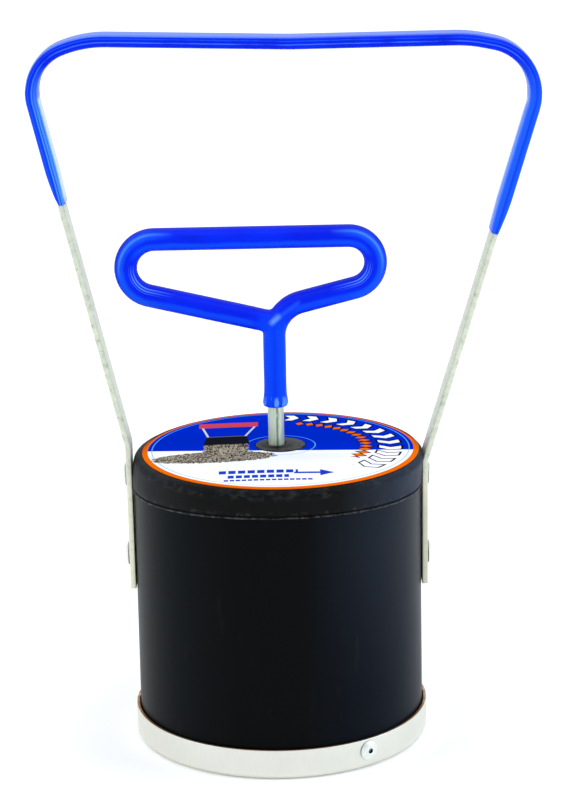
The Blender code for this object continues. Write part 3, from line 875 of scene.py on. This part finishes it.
def make_cap(material):
    skirt_inner = CAP_R - CAP_SKIRT
    lip_top = CAP_BOTTOM + LIP_HIGH
    corners = [(CAP_HOLE_R, lid_top(CAP_HOLE_R), 0.0)]
    corners += [(r * MM, lid_top(r * MM), 0.0) for r in (14, 22, 30, 38, 46, 51)]
    corners += [
        (CAP_R, CAP_EDGE_Z, CAP_EDGE_R * 0.9),
        (CAP_R, lip_top + 0.90 * MM, 0.1 * MM),
        (CAP_R - GROOVE_DEEP, lip_top + 0.50 * MM, 0.05 * MM),
        (CAP_R - GROOVE_DEEP, lip_top + 0.30 * MM, 0.05 * MM),
        (CAP_R + LIP_OUT, lip_top, 0.1 * MM),
        (CAP_R + LIP_OUT, CAP_BOTTOM, 0.28 * MM),
        (skirt_inner, CAP_BOTTOM, 0.2 * MM),
        (skirt_inner, TUBE_TOP + 0.3 * MM, 0.0),
    ]
    corners += [(r * MM, lid_top(r * MM) - CAP_PLATE, 0.0) for r in (50, 38, 26, 14)]
    corners.append((CAP_HOLE_R, lid_top(CAP_HOLE_R) - CAP_PLATE, 0.0))
    outline = filleted(corners, radians(9.0), closed=True)

    def reshape(turn, radius, z):
        """The skirt's edge rises in front and behind, and a mould seam runs down it."""
        x, y = cos(turn), sin(turn)
        share = min(max((CAP_EDGE_Z - z) / (CAP_EDGE_Z - CAP_BOTTOM), 0.0), 1.0)
        rise = SKIRT_RISE * y * y + 0.16 * MM * rough(x, y, 0.0, 0.11)
        lumps = 0.13 * MM * rough(x * 0.058, y * 0.058, z, 0.006)
        shoulder = 52.0 * MM
        outside = 1.0 if radius > shoulder else 0.0
        away = ((turn - FRONT + pi) % tau - pi) * CAP_R
        seam_half = 0.45 * MM
        seam = 0.16 * MM * exp(-(away / seam_half) ** 2) * min(share * 4.0, 1.0)
        clear = 1.0 - abs(x) ** 12      # no lumps under the bail's legs
        return (radius + (lumps * clear + seam) * outside,
                z + rise * share ** 1.5 + lumps * 0.6 * outside * (1.0 - share))

    turns = even_turns(240, FRONT, 4.0 * MM / CAP_R, 24)
    bm = revolved(spaced(outline, 1.6 * MM, closed=True), turns, reshape=reshape)
    for vert in bm.verts:
        settle_lid(vert.co)
    finish_piece(mesh_object("lid", bm), material, "housing", "cap_vinyl", "end_cap")


def settle_lid(co):
    """Moves a point of the lid to the right near its top, and presses it in at each leg."""
    radius = hypot(co.x, co.y)
    rim = 50.0 * MM                     # inside this the crown stays where it is
    shift_from, shift_over = 108.0 * MM, 6.0 * MM
    share = min(max((co.z - shift_from) / shift_over, 0.0), 1.0)
    if radius > rim:
        co.x += LID_SHIFT * share

    pressed = 57.3 * MM                 # how far out the lid reaches under a leg
    half_width = STRAP_WIDE / 2 + 1.25 * MM
    bend_z = 112.5 * MM                 # the right leg leans out above this
    slope = 0.30
    lean = max(co.z - bend_z, 0.0) * slope if co.x > 0 else 0.0
    wall = 0.6 * MM if radius < CAP_R - 0.4 * MM else 0.0
    reach = pressed + lean - wall
    if abs(co.y) < half_width and abs(co.x) > reach:
        co.x = copysign(reach, co.x)


def make_label(material):
    radii = [LABEL_HOLE_R + (LABEL_R - LABEL_HOLE_R) * index / 24 for index in range(25)]
    under = [Vector((radius, lid_top(radius) + SLIP)) for radius in radii]
    over = [Vector((point.x, point.y + LABEL_SHEET)) for point in reversed(under)]
    bm = revolved(under + over, even_turns(256))
    bmesh.ops.translate(bm, verts=bm.verts, vec=(LABEL_X, 0.0, 0.0))
    finish_piece(mesh_object("label_disc", bm), material, "housing", "label_print", "top_label")


def make_hub(material):
    seat = lid_top(CAP_HOLE_R) + SLIP
    bore = 3.6 * MM
    spigot = 6.8 * MM
    boss = 7.6 * MM
    flange = LABEL_HOLE_R - 0.35 * MM   # follows the label's offset
    outline = filleted([
        (bore, HUB_BOTTOM, 0.3 * MM), (spigot, HUB_BOTTOM, 0.4 * MM), (spigot, seat, 0.0),
        (flange, seat, 0.15 * MM), (flange, seat + 0.7 * MM, 0.45 * MM),
        (6.6 * MM, seat + 0.75 * MM, 0.5 * MM), (5.1 * MM, HUB_TOP, 0.5 * MM),
        (bore, HUB_TOP, 0.45 * MM),
    ], radians(15.0), closed=True)
    bm = revolved(outline, even_turns(96))
    for vert in bm.verts:
        if vert.co.xy.length > boss:
            vert.co.x += LABEL_X
    finish_piece(mesh_object("hub", bm), material, "housing", "black_plastic", "rod_bushing")


# -------- rivets

def make_rivet(node, material, head_r, height, turn, radius, z):
    """A blind rivet, its head's underside at that radius and its axis along the turn."""
    hole = 1.0 * MM
    hole_bottom = -1.1 * MM
    shank = 2.0 * MM
    tail = -8.2 * MM
    outline = filleted([
        (0.0, hole_bottom, 0.0), (hole * 0.96, hole_bottom, 0.2 * MM), (hole, height, 0.22 * MM),
        (head_r * 0.62, height * 0.93, 2.2 * MM), (head_r, height * 0.30, 0.35 * MM),
        (head_r, 0.0, 0.12 * MM), (shank, 0.0, 0.0), (shank, tail, 0.0),
        (shank * 1.5, tail, 0.4 * MM), (shank * 1.3, tail - 1.6 * MM, 0.6 * MM),
        (0.0, tail - 1.9 * MM, 0.0),
    ], radians(15.0))
    bm = revolved(outline, even_turns(40), closed=False)
    rise = bm.verts.layers.float.new("rise")
    bore = bm.verts.layers.float.new("bore")
    for vert in bm.verts:
        vert[rise] = vert.co.z / height
        vert[bore] = float(vert.co.xy.length < hole * 1.02 and vert.co.z > tail / 2)
    place = Matrix.Translation((radius * cos(turn), radius * sin(turn), z))
    tilt = Euler((0.0, pi / 2, turn)).to_matrix().to_4x4()
    bmesh.ops.transform(bm, verts=bm.verts, matrix=place @ tilt)
    finish_piece(mesh_object(node + "_fine", bm), material, "housing", "rivet_metal", node)


def make_rivets(pan_finish, strap_finish):
    pan_z = 7.4 * MM
    pan_face = PAN_R + 0.1 * MM
    for side, turn in (("right", radians(-55.0)), ("left", radians(125.0))):
        make_rivet("pan_rivet_" + side, pan_finish, 4.0 * MM, 1.15 * MM, turn, pan_face, pan_z)
    for side, turn in (("left", pi), ("right", 0.0)):
        for level in ("upper", "lower"):
            node = "strap_rivet_" + side + "_" + level
            middle = (high(node).z + low(node).z) / 2
            make_rivet(node, strap_finish, 4.65 * MM, 1.5 * MM, turn, STRAP_FACE, middle)


# -------- bail

def rounded_box(thick, wide, radius, steps=4):
    """A rectangle of (across, y) pairs with each corner drawn by an arc."""
    pairs = []
    for quarter, (sign_a, sign_y) in enumerate(((1, 1), (-1, 1), (-1, -1), (1, -1))):
        for index in range(steps + 1):
            turn = pi / 2 * (quarter + index / steps)
            pairs.append((sign_a * (thick / 2 - radius) + radius * cos(turn),
                          sign_y * (wide / 2 - radius) + radius * sin(turn)))
    return pairs


def make_strap(material):
    line = spaced(filleted(in_metres(BAIL_LINE), radians(3.0)), 8.0 * MM)
    section = rounded_box(STRAP_THICK, STRAP_WIDE, 0.35 * MM)
    bm, loops = swept(line, lambda index: section)
    finish_piece(mesh_object("strap", capped(bm, loops)), material, "housing", "zinc_strap",
                 "bail_strap")


def sleeve_section(outer, inner, wide):
    """A flat oval of (across, y) pairs with those half-thicknesses, pinched in its middle."""
    pairs = []
    count = 56
    for index in range(count):
        turn = tau * (index + 0.5) / count
        y = sin(turn)
        flat = abs(cos(turn)) ** 0.42
        pinch = 1.0 - 0.07 * exp(-(y / 0.45) ** 4)
        half = outer if cos(turn) > 0 else -inner
        nose = copysign(abs(y) ** 0.80, y)
        pairs.append((half * flat * pinch, wide / 2 * nose))
    return pairs


def make_sleeve(material):
    corners = in_metres(BAIL_LINE)[1:-1]

    def at_height(lower, upper, z):
        share = (z * MM - lower[1]) / (upper[1] - lower[1])
        return (lower[0] + share * (upper[0] - lower[0]), z * MM, 0.0)

    left = at_height(corners[0], corners[1], SLEEVE_END_LEFT_Z)
    right = at_height(corners[-1], corners[-2], SLEEVE_END_RIGHT_Z)
    line = spaced(filleted([left] + corners[1:-1] + [right], radians(3.0)), 2.5 * MM)
    reach = [0.0]
    for start, end in zip(line, line[1:]):
        reach.append(reach[-1] + (end - start).length)
    wide = 15.6 * MM
    half_thick = 2.65 * MM
    taper = 15.0 * MM
    nose_long = 3.6 * MM

    def section_at(index):
        """Each end thins on the bail's outer side and closes on the strip in a round lip."""
        left_in = min(reach[index] / taper, 1.0)
        right_in = min((reach[-1] - reach[index]) / taper, 1.0)
        near = min(left_in, right_in)
        ease = sin(near * pi / 2)
        nose_in = min(left_in * taper / nose_long, 1.0)
        nose = 0.55 + 0.45 * sqrt(1.0 - (1.0 - nose_in) ** 2)
        outer = half_thick * (0.50 + 0.50 * ease) * nose
        inner = half_thick * (0.80 + 0.20 * ease)
        return sleeve_section(outer, inner, wide)

    bm, loops = swept(line, section_at)
    for loop, ahead in ((loops[0], loops[1]), (loops[-1], loops[-2])):
        close_lip(bm, loop, ahead)
    finish_piece(mesh_object("sleeve", bm, 50.0), material, "housing", "blue_vinyl",
                 "bail_sleeve")


def close_lip(bm, loop, ahead):
    """Rounds the sleeve's end over and closes it round the strip."""
    middle = sum((vert.co for vert in loop), Vector()) / len(loop)
    away = (middle - sum((vert.co for vert in ahead), Vector()) / len(ahead)).normalized()
    across_layer = bm.verts.layers.float["across"]
    before = loop
    for shrink, push in ((0.93, 0.35), (0.78, 0.62), (0.50, 0.75)):
        ring = []
        for vert in loop:
            at = middle + (vert.co - middle) * shrink + away * push * MM
            moved = bm.verts.new(at)
            moved[across_layer] = vert[across_layer] * shrink
            ring.append(moved)
        bridge(bm, before, ring)
        before = ring
    bm.faces.new(before)


# -------- T-handle

def handle_corners(bottom, left_end_x):
    """Corners of the rod's middle line, from a height on its stem round the loop, in mm."""
    right_tip = (BAR_Z - RIGHT_ROOT_Z) / tan(RIGHT_SLOPE)
    left_tip = (BAR_Z - LEFT_ROOT_Z) / tan(LEFT_SLOPE)
    return [
        (0.0, bottom / MM, 0.0),
        (0.0, RIGHT_ROOT_Z, STEM_BEND_R),
        (right_tip, BAR_Z, RIGHT_BEND_R),
        (-left_tip, BAR_Z, LEFT_BEND_R),
        (left_end_x, LEFT_ROOT_Z - left_end_x * tan(LEFT_SLOPE), 0.0),
    ]


def make_rod(material):
    """The bare rod, bent into a loop whose end is butted against its stem."""
    butt_x = -3.6
    chamfer = 0.5 * MM
    line = filleted(in_metres(handle_corners(ROD_BOTTOM, butt_x)), radians(6.0))
    start = line[0]
    line = [start, start + Vector((0.0, chamfer))] + line[1:]
    radii = [ROD_R - 0.9 * chamfer] + [ROD_R] * (len(line) - 1)
    bm, loops = swept(line, lambda index: circle(radii[index], 48))
    finish_piece(mesh_object("rod", capped(bm, loops)), material, "handle", "plated_steel",
                 "lift_rod")


def make_grip(material):
    """The vinyl dip: one skin over loop, stem and joint, drawn thick into a bead below."""
    inside_stem_x = -1.5
    line = filleted(in_metres(handle_corners(GRIP_BOTTOM, inside_stem_x)), radians(4.0))
    start = line[0]
    heights = (0.7, 1.1, 1.8, 2.8, 3.8, 5.0, 6.6, 10.5, 20.0)
    radii = [4.25, 4.80, 5.02, 5.04, 4.86, 4.64, 4.50, 4.46, 4.50]
    bead_points = 7
    stem = [start + Vector((0.0, height * MM)) for height in heights]
    line = stem + line[1:]
    radii = [radius * MM for radius in radii] + [GRIP_R] * (len(line) - len(stem))

    def section_at(index):
        """Round, with small upright folds in the bead."""
        folded = 0.022 if index < bead_points else 0.0
        pairs = []
        for across, y in circle(radii[index], 64):
            turn = atan2(y, across)
            fold = 1.0 + folded * sin(11.0 * turn + 1.3 * sin(3.0 * turn))
            pairs.append((across * fold, y * fold))
        return pairs

    bm, loops = swept(line, section_at)
    grip = mesh_object("grip", capped(bm, loops))
    remesh = grip.modifiers.new("one_skin", "REMESH")
    remesh.mode = "VOXEL"
    remesh.voxel_size = 0.42 * MM
    apply_modifiers(grip)
    soften_joint(grip)
    store_across(grip, line)
    grip.data.shade_smooth()
    finish_piece(grip, material, "handle", "blue_vinyl", "handle_grip")


def apply_modifiers(made):
    depsgraph = bpy.context.evaluated_depsgraph_get()
    mesh = bpy.data.meshes.new_from_object(made.evaluated_get(depsgraph))
    made.modifiers.clear()
    old = made.data
    made.data = mesh
    bpy.data.meshes.remove(old)
    mesh.name = made.name


def soften_joint(grip):
    """Smooths the remeshed skin: lightly all over, and more where the loop meets its stem."""
    bm = bmesh.new()
    bm.from_mesh(grip.data)
    joint = Vector((-1.0 * MM, 0.0, (RIGHT_ROOT_Z - 3.0) * MM))
    whole = list(bm.verts)
    near = [vert for vert in bm.verts if (vert.co - joint).length < 11.0 * MM]
    core = [vert for vert in bm.verts if (vert.co - joint).length < 7.5 * MM]
    for verts, rounds in ((whole, 3), (near, 6), (core, 14)):
        for _ in range(rounds):
            bmesh.ops.smooth_vert(bm, verts=verts, factor=0.5, use_axis_x=True,
                                  use_axis_y=True, use_axis_z=True)
    bm.to_mesh(grip.data)
    bm.free()


def store_across(grip, line):
    """Stores how far each point lies from the rod's middle line, towards the loop's inside."""
    points = spaced(line, 0.5 * MM)
    normals = cross_directions(points)
    tree = KDTree(len(points))
    for index, point in enumerate(points):
        tree.insert((point.x, 0.0, point.y), index)
    tree.balance()
    across = grip.data.attributes.new("across", "FLOAT", "POINT")
    for vert, item in zip(grip.data.vertices, across.data):
        place = vert.co.xz
        nearest = tree.find((place.x, 0.0, place.y))[1]
        item.value = (place - points[nearest]).dot(normals[nearest]) / MM


# -------- carried-over nodes

def dress_hidden_nodes(steel):
    """The pieces inside the can keep their CAD shape and get their own finishes."""
    finishes = {"magnet_ring": ferrite(), "stop_bumper": rubber()}
    for node in ("pole_plate", "upper_washer", "lower_washer", "upper_nut", "lower_nut",
                 "stop_collar", "collar_screw", "bushing_retainer"):
        finishes[node] = steel
    for node, material in finishes.items():
        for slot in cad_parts[node].material_slots:
            slot.material = material


# -------- studio

def make_floor():
    bm = bmesh.new()
    bmesh.ops.create_grid(bm, x_segments=8, y_segments=8, size=6.0)
    floor = mesh_object("floor", bm)
    floor.location.z = -0.05 * MM
    floor.data.materials.append(floor_paint())


def make_world():
    """A pale surround, which lights the part from all sides and shows in its metal."""
    world = bpy.data.worlds.new("studio")
    bpy.context.scene.world = world
    world.use_nodes = True
    background = world.node_tree.nodes["Background"]
    background.inputs["Color"].default_value = (0.95, 0.99, 1.04, 1.0)
    background.inputs["Strength"].default_value = 0.70


def add_area(name, place, target, size, power, colour=(1.0, 1.0, 1.0)):
    light = bpy.data.lights.new(name, "AREA")
    light.shape = "RECTANGLE"
    light.size, light.size_y = size
    light.energy = power
    light.color = colour
    lamp = bpy.data.objects.new(name, light)
    lamp.location = place
    aim = Vector(target) - Vector(place)
    lamp.rotation_euler = aim.to_track_quat("-Z", "Y").to_euler()
    bpy.context.scene.collection.objects.link(lamp)


def make_lights():
    middle = (0.0, 0.0, 0.12)
    add_area("top_box", (0.0, 1.5, 4.0), (0.0, 1.5, 0.0), (9.0, 9.0), 190.0)
    add_area("left_box", (-1.4, -0.5, 0.8), middle, (0.5, 1.0), 3.2, (0.90, 0.97, 1.0))
    add_area("right_box", (1.4, -0.3, 0.7), middle, (0.5, 1.0), 6.5, (0.72, 0.88, 1.0))


def make_camera():
    """Seen from about a metre in front, looking 15 degrees down."""
    data = bpy.data.cameras.new("camera")
    data.sensor_width = 36.0
    data.lens = 118.415
    camera = bpy.data.objects.new("camera", data)
    bpy.context.scene.collection.objects.link(camera)
    pitch = radians(14.973)
    yaw = radians(0.133)
    roll = radians(-1.129)
    turn = (Matrix.Rotation(-yaw, 4, "Z") @ Matrix.Rotation(pi / 2 - pitch, 4, "X")
            @ Matrix.Rotation(roll, 4, "Z"))
    camera.matrix_world = Matrix.Translation((0.0, -1.0053, 0.4056)) @ turn
    bpy.context.scene.camera = camera


def main():
    bpy.context.scene.view_settings.view_transform = "Standard"
    make_camera()
    make_world()
    make_lights()
    make_floor()

    steel = plated_steel()
    make_can_wall(can_plastic())
    make_pan(pan_metal())
    make_cap(cap_plastic())
    make_label(label_print())
    make_hub(hub_plastic())
    # The last colour given to each rivet finish is the painted shade round its head's rim
    make_rivets(
        rivet_metal("pan_rivet_metal", rgb(222, 228, 222), rgb(246, 248, 244), rgb(206, 210, 204)),
        rivet_metal("strap_rivet_metal", rgb(214, 216, 208), rgb(246, 246, 240), rgb(92, 96, 86)))
    make_strap(strap_metal())
    make_sleeve(sleeve_vinyl())
    make_rod(rod_steel())
    make_grip(grip_vinyl())
    dress_hidden_nodes(steel)


main()
